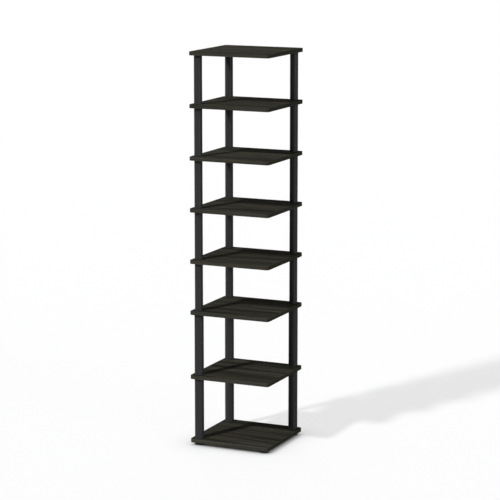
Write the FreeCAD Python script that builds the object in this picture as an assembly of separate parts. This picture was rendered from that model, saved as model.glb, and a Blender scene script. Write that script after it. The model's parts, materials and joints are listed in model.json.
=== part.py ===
import FreeCAD
import Part
import math
import os

# Corner shelf: square boards stacked on three posts of tubes that screw together through the boards.
# Millimetres, +Z up. The origin is on the floor, under the middle of the boards.
# The front edge faces -Y and the free corner is at +X -Y. The posts are the left one (-X -Y),
# the corner one (-X +Y, across from the free corner) and the right one (+X +Y).

# Boards
board_side = 295.0
board_thickness = 13.0
board_corner_radius = 10.0
band_thickness = 1.0
band_arris = 0.6
band_seam = 0.3

# Posts and bays, counted from the floor
post_inset = 24.7
tall_bay_count = 2
tall_bay_height = 212.5
short_bay_count = 5
short_bay_height = 164.5

# Tubes: stout ones in the tall bays, slim ones in the short bays
stout_tube_diameter = 32.0
slim_tube_diameter = 28.0
tube_wall = 1.8
rim_chamfer = 0.4

# Moulded plugs in the ends of the tubes
flange_thickness = 2.0
plug_length = 18.0
plug_wall = 2.4
plug_clearance = 0.1
plug_lead_chamfer = 1.0

# Screw thread that studs, sockets and inserts share
thread_diameter = 16.0
thread_pitch = 4.0
thread_depth = 1.2
thread_crest = 0.9
thread_flank_angle = 30.0
thread_clearance = 0.25
thread_lead_in = 1.5
thread_root_overlap = 0.3

# Studs: long ones pass through a board, short ones end inside it
stud_reach = 12.0
stud_hole_clearance = 0.5
stud_bore_diameter = 7.0
stud_tip_wall = 2.0
stud_tip_chamfer = 1.0
stud_tip_gap = 1.0

# Threaded inserts, set in blind holes in the underside of a board
insert_wall = 3.0
insert_cover = 3.0
insert_barb_depth = 0.6
insert_barb_count = 3
insert_rim = 1.0
insert_hole_relief = 0.2

# Feet
foot_diameter = 33.0
foot_height = 10.0
foot_taper = 1.0
foot_edge_chamfer = 1.2
foot_recess_diameter = 20.0
foot_recess_depth = 2.0

# Values that follow from the ones above
half_side = board_side / 2
post_offset = half_side - post_inset
stud_radius = thread_diameter / 2
stud_root_radius = stud_radius - thread_depth
socket_radius = stud_root_radius + thread_clearance
groove_radius = stud_radius + thread_clearance
stud_hole_radius = stud_radius + stud_hole_clearance
insert_radius = groove_radius + insert_wall
insert_length = board_thickness - insert_cover
insert_hole_depth = insert_length + insert_hole_relief
short_stud_reach = insert_length - stud_tip_gap

post_places = {
    "left": (-post_offset, -post_offset),
    "corner": (-post_offset, post_offset),
    "right": (post_offset, post_offset),
}
free_corner = (post_offset, -post_offset)
bay_heights = [tall_bay_height] * tall_bay_count + [short_bay_height] * short_bay_count
tube_diameters = [stout_tube_diameter] * tall_bay_count + [slim_tube_diameter] * short_bay_count


def vector(x, y, z):
    return FreeCAD.Vector(x, y, z)


# Solid of revolution about Z from a closed outline of (radius, height) points
def turned(outline):
    corners = [vector(radius, 0, height) for radius, height in outline]
    face = Part.Face(Part.makePolygon(corners + corners[:1]))
    return face.revolve(vector(0, 0, 0), vector(0, 0, 1), 360)


# Square plate with rounded corners, standing on z = 0
def rounded_plate(side, corner_radius):
    plate = Part.makeBox(side, side, board_thickness, vector(-side / 2, -side / 2, 0))
    upright = [edge for edge in plate.Edges if edge.BoundBox.ZLength > board_thickness / 2]
    return plate.makeFillet(corner_radius, upright)


def moved(shape, x, y, z):
    copy = shape.copy()
    copy.translate(vector(x, y, z))
    return copy


def hole(place, radius, depth):
    x, y = place
    return Part.makeCylinder(radius, depth, vector(x, y, 0))


# Helical ridge about Z; its height zero lies in the face that the stud enters
def thread_ridge(inner_radius, outer_radius, growth, bottom, turns):
    flank = math.tan(math.radians(thread_flank_angle))
    outer_half = thread_crest / 2 + growth + (stud_radius - outer_radius) * flank
    inner_half = thread_crest / 2 + growth + (stud_radius - inner_radius) * flank
    section = Part.makePolygon([
        vector(inner_radius, 0, -inner_half),
        vector(outer_radius, 0, -outer_half),
        vector(outer_radius, 0, outer_half),
        vector(inner_radius, 0, inner_half),
        vector(inner_radius, 0, -inner_half),
    ])
    helix = Part.makeLongHelix(thread_pitch, turns * thread_pitch, inner_radius)
    ridge = Part.Wire(helix.Edges).makePipeShell([section], True, True)
    return moved(ridge, 0, 0, bottom)


# Ridge that stands on a stud of this reach past the face it enters
def stud_thread(reach):
    turns = (reach - stud_tip_chamfer - 2 * thread_lead_in) / thread_pitch
    inner_radius = stud_root_radius - thread_root_overlap
    return thread_ridge(inner_radius, stud_radius, 0, thread_lead_in, turns)


# Groove right through a socket of this length, in step with the stud's ridge
def socket_groove(length):
    turns_below = math.ceil((thread_lead_in + thread_pitch) / thread_pitch)
    bottom = thread_lead_in - turns_below * thread_pitch
    turns = math.ceil((length - bottom) / thread_pitch) + 1
    inner_radius = socket_radius - thread_root_overlap
    return thread_ridge(inner_radius, groove_radius, thread_clearance, bottom, turns)


# Outline of a stud from its tip down to the face it stands on
def stud_outline(face_height, shank, reach):
    tip = face_height + shank + reach
    outline = [
        (0, tip),
        (stud_root_radius - stud_tip_chamfer, tip),
        (stud_root_radius, tip - stud_tip_chamfer),
        (stud_root_radius, face_height + shank),
    ]
    if shank:
        outline += [(stud_radius, face_height + shank), (stud_radius, face_height)]
    return outline


# Rounded-off rim of a flange between two heights, from the top down
def rim_outline(radius, bottom, top):
    return [
        (radius - rim_chamfer, top),
        (radius, top - rim_chamfer),
        (radius, bottom + rim_chamfer),
        (radius - rim_chamfer, bottom),
    ]


def shelf_board(through_places, blind_places):
    core = rounded_plate(board_side - 2 * band_thickness, board_corner_radius - band_thickness)
    cuts = [hole(place, stud_hole_radius, board_thickness) for place in through_places]
    cuts += [hole(place, insert_radius, insert_hole_depth) for place in blind_places]
    return core.cut(cuts)


# Edge strip round a board, its two ends meeting in the middle of the rear edge
def edge_band():
    blank = rounded_plate(board_side, board_corner_radius)
    rims = [edge for edge in blank.Edges if edge.BoundBox.ZLength < band_arris / 2]
    blank = blank.makeFillet(band_arris, rims)
    core = rounded_plate(board_side - 2 * band_thickness, board_corner_radius - band_thickness)
    seam_corner = vector(-band_seam / 2, half_side - band_thickness, 0)
    seam = Part.makeBox(band_seam, band_thickness, board_thickness, seam_corner)
    return blank.cut([core, seam])


def tube(diameter, length):
    radius = diameter / 2
    bore = radius - tube_wall
    return turned([(bore, length)] + rim_outline(radius, 0, length) + [(bore, 0)])


def plug_radius(diameter):
    return diameter / 2 - tube_wall - plug_clearance


# Plug in the top of a tube: flange, hollow skirt below it and hollow stud above it
def stud_plug(diameter, shank, reach):
    skirt = plug_radius(diameter)
    hollow = skirt - plug_wall
    bore = stud_bore_diameter / 2
    bore_end = flange_thickness + shank + reach - stud_tip_wall
    body = turned(
        stud_outline(flange_thickness, shank, reach)
        + rim_outline(diameter / 2, 0, flange_thickness)
        + [
            (skirt, 0),
            (skirt, plug_lead_chamfer - plug_length),
            (skirt - plug_lead_chamfer, -plug_length),
            (hollow, -plug_length),
            (hollow, 0),
            (bore, 0),
            (bore, bore_end),
            (0, bore_end),
        ]
    )
    return body.fuse(moved(stud_thread(reach), 0, 0, flange_thickness + shank))


# Plug in the foot of a tube: flange, body inside the tube and a threaded bore right through
def socket_plug(diameter):
    skirt = plug_radius(diameter)
    top = flange_thickness + plug_length
    mouth = groove_radius - socket_radius
    body = turned(
        [
            (socket_radius, top),
            (skirt - plug_lead_chamfer, top),
            (skirt, top - plug_lead_chamfer),
            (skirt, flange_thickness),
        ]
        + rim_outline(diameter / 2, 0, flange_thickness)
        + [(groove_radius, 0), (socket_radius, mouth)]
    )
    return body.cut(socket_groove(top))


# Barbed insert: each barb is full size at its lower edge, so that it holds against a pull
def threaded_insert():
    waist = insert_radius - insert_barb_depth
    barb_height = (insert_length - insert_rim) / insert_barb_count
    outline = [(insert_radius, 0), (insert_radius, insert_rim)]
    for barb in range(insert_barb_count):
        bottom = insert_rim + barb * barb_height
        if barb:
            outline.append((insert_radius, bottom))
        outline.append((waist, bottom + barb_height))
    outline += [(socket_radius, insert_length), (socket_radius, 0)]
    return turned(outline).cut(socket_groove(insert_length))


def foot(shank, reach):
    radius = foot_diameter / 2
    base = radius - foot_taper
    recess = foot_recess_diameter / 2
    body = turned(
        stud_outline(foot_height, shank, reach)
        + [
            (radius - rim_chamfer, foot_height),
            (radius, foot_height - rim_chamfer),
            (base, foot_edge_chamfer),
            (base - foot_edge_chamfer, 0),
            (recess, 0),
            (recess, foot_recess_depth),
            (0, foot_recess_depth),
        ]
    )
    return body.fuse(moved(stud_thread(reach), 0, 0, foot_height + shank))


pieces = {}
posts = list(post_places.values())

# Feet, the front one under the free corner
foot_with_long_stud = foot(board_thickness, stud_reach)
for post, (x, y) in post_places.items():
    pieces[post + "_foot"] = [moved(foot_with_long_stud, x, y, 0)]
pieces["front_foot"] = [moved(foot(0, short_stud_reach), *free_corner, 0)]
insert = threaded_insert()
pieces["front_foot_insert"] = [moved(insert, *free_corner, foot_height)]

# Boards and their edge strips, from the floor up
bay_count = len(bay_heights)
middle_board = shelf_board(posts, [])
band = edge_band()
board_bottom = foot_height
board_bottoms = []
for level in range(bay_count + 1):
    name = "shelf_%d" % (level + 1)
    board = middle_board
    if level == 0:
        name = "bottom_shelf"
        board = shelf_board(posts, [free_corner])
    if level == bay_count:
        name = "top_shelf"
        board = shelf_board([], posts)
    pieces[name] = [moved(board, 0, 0, board_bottom)]
    pieces[name + "_edge_band"] = [moved(band, 0, 0, board_bottom)]
    board_bottoms.append(board_bottom)
    if level < bay_count:
        board_bottom += board_thickness + bay_heights[level]
pieces["top_shelf_inserts"] = [moved(insert, x, y, board_bottoms[-1]) for x, y in posts]

# Tubes with a socket plug in the foot and a stud plug in the top
diameters = sorted(set(tube_diameters))
sockets = {diameter: socket_plug(diameter) for diameter in diameters}
long_studs = {diameter: stud_plug(diameter, board_thickness, stud_reach) for diameter in diameters}
top_stud = stud_plug(tube_diameters[-1], 0, short_stud_reach)
for level, (height, diameter) in enumerate(zip(bay_heights, tube_diameters)):
    number = level + 1
    floor = board_bottoms[level] + board_thickness
    stud_bottom = floor + height - flange_thickness
    bay_tube = tube(diameter, height - 2 * flange_thickness)
    stud = top_stud if number == bay_count else long_studs[diameter]
    for post, (x, y) in post_places.items():
        pieces["%s_tube_%d" % (post, number)] = [moved(bay_tube, x, y, floor + flange_thickness)]
    pieces["socket_plugs_%d" % number] = [moved(sockets[diameter], x, y, floor) for x, y in posts]
    pieces["stud_plugs_%d" % number] = [moved(stud, x, y, stud_bottom) for x, y in posts]

os.makedirs("parts", exist_ok=True)
for name, solids in pieces.items():
    for solid in solids:
        if not solid.isValid() or len(solid.Solids) != 1:
            raise RuntimeError(name + " is not one valid solid")
    shape = solids[0] if len(solids) == 1 else Part.makeCompound(solids)
    shape.exportStep("parts/" + name + ".step")
print(len(pieces), "nodes, overall height", round(board_bottoms[-1] + board_thickness, 2))
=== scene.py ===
import bpy
import json
import math
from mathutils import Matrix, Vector


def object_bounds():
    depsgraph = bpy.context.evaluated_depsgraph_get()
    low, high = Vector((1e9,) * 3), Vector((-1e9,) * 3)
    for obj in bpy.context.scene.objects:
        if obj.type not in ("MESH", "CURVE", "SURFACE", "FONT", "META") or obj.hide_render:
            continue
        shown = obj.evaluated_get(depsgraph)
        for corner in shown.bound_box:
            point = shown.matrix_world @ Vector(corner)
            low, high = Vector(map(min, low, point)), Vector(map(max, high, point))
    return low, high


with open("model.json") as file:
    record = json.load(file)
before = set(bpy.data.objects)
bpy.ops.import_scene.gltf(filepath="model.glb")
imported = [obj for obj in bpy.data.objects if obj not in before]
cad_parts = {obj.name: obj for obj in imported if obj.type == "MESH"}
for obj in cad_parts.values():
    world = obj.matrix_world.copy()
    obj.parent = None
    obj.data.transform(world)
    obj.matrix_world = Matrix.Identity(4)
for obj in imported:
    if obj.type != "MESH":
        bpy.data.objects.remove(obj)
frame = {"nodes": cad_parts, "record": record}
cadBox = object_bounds()
print("corner shelf loaded:", len(frame["nodes"]), "nodes")

# Small helpers for node trees


def feed(tree, node, key, value):
    socket = node.inputs[key]
    if isinstance(value, bpy.types.NodeSocket):
        tree.links.new(value, socket)
    else:
        socket.default_value = value


# One node with its settings, and its inputs by name or by number
def put(tree, kind, inputs, **settings):
    node = tree.nodes.new("ShaderNode" + kind)
    for key, value in settings.items():
        setattr(node, key, value)
    for key, value in inputs.items():
        feed(tree, node, key, value)
    return node


def newGroup(name, inputs, outputs):
    tree = bpy.data.node_groups.new(name, "ShaderNodeTree")
    for way, sockets in (("INPUT", inputs), ("OUTPUT", outputs)):
        for label, kind in sockets.items():
            tree.interface.new_socket(label, in_out=way, socket_type="NodeSocket" + kind)
    given = tree.nodes.new("NodeGroupInput").outputs
    return tree, given, tree.nodes.new("NodeGroupOutput")


def placeGroup(tree, group, inputs):
    return put(tree, "Group", inputs, node_tree=group).outputs


def maths(tree, operation, a, b=0.0, c=0.0):
    return put(tree, "Math", {0: a, 1: b, 2: c}, operation=operation).outputs[0]


def vectorMaths(tree, operation, a, b):
    return put(tree, "VectorMath", {0: a, 1: b}, operation=operation).outputs[0]


def scaled(tree, place, factor):
    return put(tree, "VectorMath", {0: place, "Scale": factor}, operation="SCALE").outputs[0]


# Noise with its own number of repeats per metre along each axis
def noise(tree, place, repeats=(1.0, 1.0, 1.0), detail=2.0, rough=0.5, warp=0.0):
    inputs = {
        "Vector": vectorMaths(tree, "MULTIPLY", place, repeats),
        "Scale": 1.0,
        "Detail": detail,
        "Roughness": rough,
        "Distortion": warp,
    }
    return put(tree, "TexNoise", inputs, noise_dimensions="3D").outputs["Fac"]


def remap(tree, value, span, low=0.0, high=1.0):
    inputs = {"Value": value, "From Min": span[0], "From Max": span[1], "To Min": low, "To Max": high}
    return put(tree, "MapRange", inputs, clamp=True).outputs["Result"]


# The mix node keeps its colours at inputs 6 and 7 and at output 2
def blendColor(tree, factor, first, second):
    return put(tree, "Mix", {0: factor, 6: first, 7: second}, data_type="RGBA").outputs[2]


def surfacePlace(tree):
    return put(tree, "TexCoord", {}).outputs["Object"]


def newMaterial(name):
    material = bpy.data.materials.new(name)
    material.use_nodes = True
    tree = material.node_tree
    return material, tree, tree.nodes["Principled BSDF"]


def addRelief(tree, shader, height, strength, depth):
    relief = put(tree, "Bump", {"Strength": strength, "Distance": depth, "Height": height})
    feed(tree, shader, "Normal", relief.outputs["Normal"])


# Gives every piece of one material slot the same finish
def dress(slot, material):
    names = [part["node"] for part in frame["record"]["subparts"] if part["material_slot"] == slot]
    for name in names:
        mesh = frame["nodes"][name].data
        mesh.materials.clear()
        mesh.materials.append(material)
    print(material.name, "on", len(names), "pieces")


# Shared effect: printed wood grain, where X of the place runs along the grain and Y across it

grainPrint = {
    # repeats per metre along, across and through the grain
    "wander": (2.4, 8.0, 8.0),
    "bands": (1.1, 22.0, 40.0),
    "lines": (2.2, 190.0, 60.0),
    "fibre": (16.0, 1300.0, 90.0),
    "blush": (1.2, 14.0, 30.0),
    "pores": (42.0, 2100.0, 70.0),
    "wanderReach": 0.04,    # metres between the furthest strays of a line
    "ringCount": 8.0,    # growth rings from the darkest to the lightest band
    "ringWaver": 0.5,
    "ringRise": 2.5,
    "ringFall": (1.0, 0.86),
    # shares in the tone
    "bandShare": 0.9,
    "lineShare": 0.75,
    "fibreShare": 0.35,
    "ringShare": -0.30,
    # tones over which one colour turns into the next
    "darkToMid": (0.66, 1.02),
    "midToLight": (0.96, 1.32),
    "lightMost": 0.8,
    "blushSpan": (0.5, 0.75),
    "blushMost": 0.55,
    "poreSpan": (0.56, 0.66),
    "poreLines": (0.75, 0.35),    # pores are thickest where the lines are dark
    "poreMost": 0.6,
}


def makeFoilGrain():
    tree, given, result = newGroup(
        "foilGrain",
        {"Place": "Vector", "Dark": "Color", "Mid": "Color", "Light": "Color", "Warm": "Color"},
        {"Color": "Color", "Pores": "Float", "Fibre": "Float"},
    )
    # slow wander of the grain, so that lines bend a little
    drift = maths(tree, "SUBTRACT", noise(tree, given["Place"], grainPrint["wander"]), 0.5)
    bend = put(tree, "CombineXYZ", {"Y": maths(tree, "MULTIPLY", drift, grainPrint["wanderReach"])})
    wood = vectorMaths(tree, "ADD", given["Place"], bend.outputs[0])
    bands = noise(tree, wood, grainPrint["bands"])
    lines = noise(tree, wood, grainPrint["lines"], detail=4.0, rough=0.6)
    fibre = noise(tree, wood, grainPrint["fibre"], rough=0.6)
    # growth rings follow the bands: slow rise, then a quick but soft fall
    waver = maths(tree, "MULTIPLY", lines, grainPrint["ringWaver"])
    ringStep = maths(tree, "FRACT", maths(tree, "MULTIPLY_ADD", bands, grainPrint["ringCount"], waver))
    ringRise = maths(tree, "POWER", ringStep, grainPrint["ringRise"])
    rings = maths(tree, "MULTIPLY", ringRise, remap(tree, ringStep, grainPrint["ringFall"]))
    tone = maths(tree, "MULTIPLY", lines, grainPrint["lineShare"])
    tone = maths(tree, "MULTIPLY_ADD", bands, grainPrint["bandShare"], tone)
    tone = maths(tree, "MULTIPLY_ADD", fibre, grainPrint["fibreShare"], tone)
    tone = maths(tree, "MULTIPLY_ADD", rings, grainPrint["ringShare"], tone)
    body = blendColor(tree, remap(tree, tone, grainPrint["darkToMid"]), given["Dark"], given["Mid"])
    lightness = remap(tree, tone, grainPrint["midToLight"], high=grainPrint["lightMost"])
    body = blendColor(tree, lightness, body, given["Light"])
    blush = noise(tree, wood, grainPrint["blush"])
    warmth = remap(tree, blush, grainPrint["blushSpan"], high=grainPrint["blushMost"])
    body = blendColor(tree, warmth, body, given["Warm"])
    # pores are short dark dashes
    flecks = noise(tree, wood, grainPrint["pores"], detail=1.0, rough=0.4)
    dashes = remap(tree, flecks, grainPrint["poreSpan"])
    pores = maths(tree, "MULTIPLY", dashes, remap(tree, lines, grainPrint["poreLines"]))
    body = blendColor(tree, maths(tree, "MULTIPLY", pores, grainPrint["poreMost"]), body, given["Dark"])
    feed(tree, result, "Color", body)
    feed(tree, result, "Pores", pores)
    feed(tree, result, "Fibre", fibre)
    return tree


# Shared effect: hand marks in slow patches, which change gloss and tone a little, and specks of dust

marksLook = {
    "patchSpan": (0.35, 0.7),
    "speckRepeats": (900.0, 900.0, 900.0),
    "speckSpan": (0.72, 0.82),
}


def makeHandling():
    tree, given, result = newGroup(
        "handling",
        {"Place": "Vector", "Patch Repeats": "Float"},
        {"Patches": "Float", "Specks": "Float"},
    )
    sized = scaled(tree, given["Place"], given["Patch Repeats"])
    patches = noise(tree, sized, detail=3.0, rough=0.6, warp=0.4)
    specks = noise(tree, given["Place"], marksLook["speckRepeats"], detail=1.0)
    feed(tree, result, "Patches", remap(tree, patches, marksLook["patchSpan"]))
    feed(tree, result, "Specks", remap(tree, specks, marksLook["speckSpan"]))
    return tree


# Shared effect: fine spark-eroded texture of moulded plastic
def makeMouldTexture():
    tree, given, result = newGroup(
        "mouldTexture", {"Place": "Vector", "Fineness": "Float"}, {"Height": "Float"})
    sized = scaled(tree, given["Place"], given["Fineness"])
    feed(tree, result, "Height", noise(tree, sized, rough=0.65))
    return tree


foilGrain = makeFoilGrain()
handling = makeHandling()
mouldTexture = makeMouldTexture()
print("shared effects ready")

# Boards: particle board under a printed dark walnut foil

boardLook = {
    "dark": (0.0080, 0.0077, 0.0058, 1),
    "mid": (0.0315, 0.0307, 0.0231, 1),
    "light": (0.0820, 0.0790, 0.0596, 1),
    "warm": (0.0530, 0.0460, 0.0322, 1),
    "printStart": (0.0, 0.0, 0.05),    # metres into the print
    "dust": 0.12,
    "gloss": 0.010,
    "roughLow": 0.84,
    "roughHigh": 0.94,
    "poreRough": 0.12,
    "patchRepeats": 9.0,
    "fibreHeight": 0.35,    # beside a pore's depth of 1
    "relief": 0.35,
    "poreDepth": 0.00008,
}


def foilShader(tree, shader, place, look):
    grain = placeGroup(tree, foilGrain, {
        "Place": vectorMaths(tree, "ADD", place, look["printStart"]),
        "Dark": look["dark"],
        "Mid": look["mid"],
        "Light": look["light"],
        "Warm": look["warm"],
    })
    marks = placeGroup(tree, handling, {"Place": surfacePlace(tree), "Patch Repeats": look["patchRepeats"]})
    dust = maths(tree, "MULTIPLY", marks["Specks"], look["dust"])
    feed(tree, shader, "Base Color", blendColor(tree, dust, grain["Color"], look["light"]))
    rough = remap(tree, marks["Patches"], (0.0, 1.0), look["roughLow"], look["roughHigh"])
    feed(tree, shader, "Roughness", maths(tree, "MULTIPLY_ADD", grain["Pores"], look["poreRough"], rough))
    dents = maths(tree, "MULTIPLY", grain["Pores"], -1.0)
    height = maths(tree, "MULTIPLY_ADD", grain["Fibre"], look["fibreHeight"], dents)
    addRelief(tree, shader, height, look["relief"], look["poreDepth"])
    shader.inputs["Specular IOR Level"].default_value = look["gloss"]


def makeBoardFoil():
    material, tree, shader = newMaterial("walnutFoil")
    foilShader(tree, shader, surfacePlace(tree), boardLook)
    return material


dress("wood_grain_board", makeBoardFoil())

# Edge strips: the same print, its grain running round the board

bandLook = dict(boardLook)
bandLook.update({
    "dark": (0.0172, 0.0168, 0.0132, 1),
    "mid": (0.0384, 0.0378, 0.0297, 1),
    "light": (0.0620, 0.0609, 0.0485, 1),
    "printStart": (1.0, 0.6, 0.7),
    "roughLow": 0.76,
    "roughHigh": 0.88,
    "fineness": 2.5,    # how much closer the lines lie than on a board
})


def makeBandFoil():
    material, tree, shader = newMaterial("edgeStripFoil")
    split = put(tree, "SeparateXYZ", {"Vector": surfacePlace(tree)}).outputs
    along = maths(tree, "ADD", split["X"], split["Y"])
    across = maths(tree, "MULTIPLY", split["Z"], bandLook["fineness"])
    place = put(tree, "CombineXYZ", {"X": along, "Y": across, "Z": split["Z"]}).outputs[0]
    foilShader(tree, shader, place, bandLook)
    return material


dress("edge_band", makeBandFoil())

# Tubes: extruded plastic with faint draw lines along their length

tubeLook = {
    "color": (0.0232, 0.0232, 0.0234, 1),
    "streak": (0.0300, 0.0300, 0.0302, 1),
    "lines": (900.0, 900.0, 4.0),    # repeats per metre along X, Y and Z
    "bands": (160.0, 160.0, 1.5),
    "lineShare": 0.4,
    "bandShare": 0.6,
    "streakSpan": (0.35, 0.65),
    "gloss": 0.070,
    "roughLow": 0.42,
    "roughHigh": 0.52,
    "lineRough": 0.06,
    "patchRepeats": 14.0,
    "relief": 0.25,
    "lineDepth": 0.00004,
}


def makeTubePlastic():
    material, tree, shader = newMaterial("tubePlastic")
    place = surfacePlace(tree)
    lines = noise(tree, place, tubeLook["lines"], rough=0.6)
    bands = noise(tree, place, tubeLook["bands"])
    marks = placeGroup(tree, handling, {"Place": place, "Patch Repeats": tubeLook["patchRepeats"]})
    tone = maths(tree, "MULTIPLY", bands, tubeLook["bandShare"])
    tone = maths(tree, "MULTIPLY_ADD", lines, tubeLook["lineShare"], tone)
    streaks = remap(tree, tone, tubeLook["streakSpan"])
    feed(tree, shader, "Base Color", blendColor(tree, streaks, tubeLook["color"], tubeLook["streak"]))
    rough = remap(tree, marks["Patches"], (0.0, 1.0), tubeLook["roughLow"], tubeLook["roughHigh"])
    feed(tree, shader, "Roughness", maths(tree, "MULTIPLY_ADD", lines, tubeLook["lineRough"], rough))
    addRelief(tree, shader, lines, tubeLook["relief"], tubeLook["lineDepth"])
    shader.inputs["Specular IOR Level"].default_value = tubeLook["gloss"]
    return material


dress("tube_plastic", makeTubePlastic())

# Moulded pieces: plugs, feet and inserts

mouldSkin = {
    "patchRepeats": 40.0,
    "roughSwing": 0.16,
    "relief": 0.4,
    "depth": 0.00006,
}
mouldLooks = {
    "plugPlastic": {
        "slot": "plug_plastic",
        "color": (0.0250, 0.0250, 0.0254, 1),
        "worn": (0.0330, 0.0330, 0.0334, 1),
        "gloss": 0.08,
        "rough": 0.52,
        "fineness": 1800.0,
    },
    "footPlastic": {
        "slot": "foot_plastic",
        "color": (0.0240, 0.0240, 0.0242, 1),
        "worn": (0.0320, 0.0318, 0.0312, 1),
        "gloss": 0.07,
        "rough": 0.60,
        "fineness": 1200.0,
    },
    "insertPlastic": {
        "slot": "insert_plastic",
        "color": (0.0250, 0.0250, 0.0254, 1),
        "worn": (0.0330, 0.0330, 0.0334, 1),
        "gloss": 0.08,
        "rough": 0.50,
        "fineness": 1800.0,
    },
}


def makeMouldPlastic(name, look):
    material, tree, shader = newMaterial(name)
    place = surfacePlace(tree)
    marks = placeGroup(tree, handling, {"Place": place, "Patch Repeats": mouldSkin["patchRepeats"]})
    grit = placeGroup(tree, mouldTexture, {"Place": place, "Fineness": look["fineness"]})["Height"]
    feed(tree, shader, "Base Color", blendColor(tree, marks["Patches"], look["color"], look["worn"]))
    roughLow = look["rough"] - mouldSkin["roughSwing"] / 2
    feed(tree, shader, "Roughness", maths(tree, "MULTIPLY_ADD", grit, mouldSkin["roughSwing"], roughLow))
    addRelief(tree, shader, grit, mouldSkin["relief"], mouldSkin["depth"])
    shader.inputs["Specular IOR Level"].default_value = look["gloss"]
    return material


for name, look in mouldLooks.items():
    dress(look["slot"], makeMouldPlastic(name, look))

# Floor and world

stageLook = {
    "floorHalf": 60.0,
    "floorColor": (0.285, 0.288, 0.291, 1),
    "floorRough": 0.8,
    "floorGloss": 0.1,
    "floorGlow": 0.705,
    "paintedShadeReach": 0.12,
    "paintedShadeSamples": 8,
    "worldColor": (1.0, 1.0, 1.0, 1),
    "worldSeen": 0.94,
    "worldLight": 0.13,
}


def addObject(name, data):
    thing = bpy.data.objects.new(name, data)
    bpy.context.scene.collection.objects.link(thing)
    return thing


# 1 where the viewer, a reflection or a look through glass meets the stage, else 0
def seenRays(tree):
    rays = put(tree, "LightPath", {}).outputs
    mirrored = maths(tree, "MAXIMUM", rays["Is Glossy Ray"], rays["Is Transmission Ray"])
    return maths(tree, "MAXIMUM", rays["Is Camera Ray"], mirrored)


def makeFloor():
    half = stageLook["floorHalf"]
    mesh = bpy.data.meshes.new("floor")
    corners = [(-half, -half, 0), (half, -half, 0), (half, half, 0), (-half, half, 0)]
    mesh.from_pydata(corners, [], [(0, 1, 2, 3)])
    floor = addObject("floor", mesh)
    material, tree, shader = newMaterial("paleFloor")
    shader.inputs["Base Color"].default_value = stageLook["floorColor"]
    shader.inputs["Roughness"].default_value = stageLook["floorRough"]
    shader.inputs["Specular IOR Level"].default_value = stageLook["floorGloss"]
    shader.inputs["Emission Color"].default_value = stageLook["worldColor"]
    # painted contact shade: the glow fades where the shelf stands close above the floor, so the floor under
    # it looks shadowed
    reach = {"Distance": stageLook["paintedShadeReach"]}
    paintedShade = put(tree, "AmbientOcclusion", reach, samples=stageLook["paintedShadeSamples"]).outputs["AO"]
    seen = maths(tree, "MULTIPLY", seenRays(tree), paintedShade)
    feed(tree, shader, "Emission Strength", maths(tree, "MULTIPLY", seen, stageLook["floorGlow"]))
    mesh.materials.append(material)


def makeWorld():
    world = bpy.data.worlds.new("studio")
    world.use_nodes = True
    bpy.context.scene.world = world
    tree = world.node_tree
    glow = tree.nodes["Background"]
    glow.inputs["Color"].default_value = stageLook["worldColor"]
    strength = remap(tree, seenRays(tree), (0.0, 1.0), stageLook["worldLight"], stageLook["worldSeen"])
    feed(tree, glow, "Strength", strength)


makeFloor()
makeWorld()
print("floor and world ready")

# Lamps: a key from the front left, a low fill and a strip for sheen on the right, a low light from behind
# Angles are degrees, with azimuth 0 straight in front of the shelf and 90 on its right

lamps = {
    "key": {
        "azimuth": -22.0, "elevation": 38.6, "spread": 5.0,
        "strength": 3.45, "matt": True, "shine": True,
    },
    "fill": {
        "azimuth": 68.0, "elevation": 8.0, "spread": 40.0,
        "strength": 0.95, "matt": True, "shine": True,
    },
    "strip": {
        "azimuth": 72.0, "elevation": 20.0, "spread": 45.0,
        "strength": 6.0, "matt": False, "shine": True,
    },
    "back": {
        "azimuth": 215.0, "elevation": 4.0, "spread": 14.0,
        "strength": 2.00, "matt": True, "shine": False,
    },
}


# Unit vector from the shelf towards a standpoint
def outward(azimuth, elevation):
    turn = math.radians(azimuth)
    rise = math.radians(elevation)
    return Vector((math.sin(turn) * math.cos(rise), -math.cos(turn) * math.cos(rise), math.sin(rise)))


def aim(thing, direction):
    thing.rotation_mode = "QUATERNION"
    thing.rotation_quaternion = direction.to_track_quat("-Z", "Y")


def makeLamp(name, look):
    lamp = bpy.data.lights.new(name, "SUN")
    lamp.angle = math.radians(look["spread"])
    lamp.energy = look["strength"]
    holder = addObject(name, lamp)
    holder.visible_diffuse = look["matt"]
    holder.visible_glossy = look["shine"]
    away = outward(look["azimuth"], look["elevation"])
    holder.location = away * cadBox[1][2]    # a sun lights alike from any distance
    aim(holder, -away)


for name, look in lamps.items():
    makeLamp(name, look)
print("lamps ready:", len(lamps))

# Camera at the measured standpoint, in metres and degrees

view = {
    "azimuth": 24.466,
    "distance": 7.0681,
    "side": -0.01193,    # how far the shelf's axis stands right of the frame's middle
    "height": 1.9724,
    "pitch": 10.417,
    "focalPixels": 2089.9,
    "frameWidth": 500,
    "sensor": 36.0,    # millimetres
    "farLimit": 100.0,
}


def makeCamera():
    lens = bpy.data.cameras.new("camera")
    lens.sensor_width = view["sensor"]
    lens.lens = view["sensor"] * view["focalPixels"] / view["frameWidth"]
    lens.clip_end = view["farLimit"]
    camera = addObject("camera", lens)
    back = outward(view["azimuth"], 0)
    right = outward(view["azimuth"] + 90, 0)
    camera.location = back * view["distance"] - right * view["side"] + Vector((0, 0, view["height"]))
    aim(camera, -outward(view["azimuth"], view["pitch"]))
    bpy.context.scene.camera = camera


makeCamera()
bpy.context.scene.view_settings.view_transform = "Standard"
print("camera ready")
